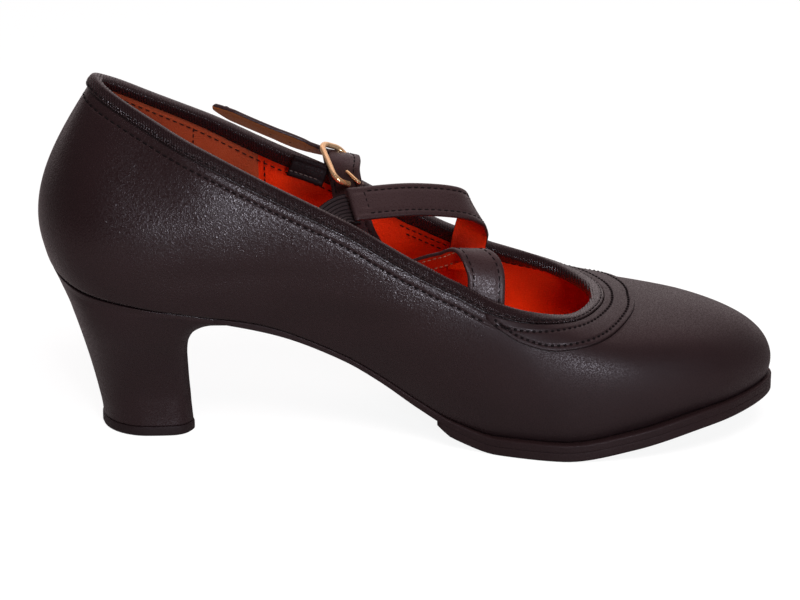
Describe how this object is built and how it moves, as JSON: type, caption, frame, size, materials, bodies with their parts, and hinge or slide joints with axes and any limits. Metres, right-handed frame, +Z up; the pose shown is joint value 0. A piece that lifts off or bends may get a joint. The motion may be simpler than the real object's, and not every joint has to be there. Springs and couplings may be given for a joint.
{
  "type": "flamenco shoe",
  "caption": "Low-cut leather dance shoe with a covered block heel, almond toe, bound topline, stitched throat overlay and an open crossed instep strap with elastic and buckle.",
  "frame": {"origin": "on the floor, on the flat base of the heel's top piece, in the shoe's middle plane", "axes": "+X towards the toe, +Y towards the outer (lateral) side, +Z up"},
  "size_m": [0.2391, 0.0813, 0.1181],
  "materials": {
    "black_leather": "smooth black leather with a soft sheen and a fine grain, red leather lining inside",
    "binding_leather": "folded black leather edge binding with a stitch row",
    "overlay_leather": "smooth black leather with two stitch rows",
    "sole_leather": "dark stained sole leather",
    "red_lining": "matte bright red lining leather",
    "heel_cover": "smooth black leather heel cover, soft sheen",
    "heel_rubber": "matte black rubber top piece",
    "strap_leather": "black leather with turned edges, black stitches and a red-brown underside",
    "black_elastic": "black ribbed woven elastic",
    "gold_metal": "polished light gold"
  },
  "bodies": {
    "root": {"upper": "black_leather", "topline_binding": "binding_leather", "throat_overlay": "overlay_leather", "outsole": "sole_leather", "half_sole": "sole_leather", "insole": "red_lining", "heel_block": "heel_cover", "heel_top_piece": "heel_rubber", "crossing_strap": "strap_leather", "buckle_strap": "strap_leather", "elastic_gore": "black_elastic", "buckle_tab": "strap_leather", "buckle_frame": "gold_metal", "buckle_prong": "gold_metal"}
  },
  "joints": []
}
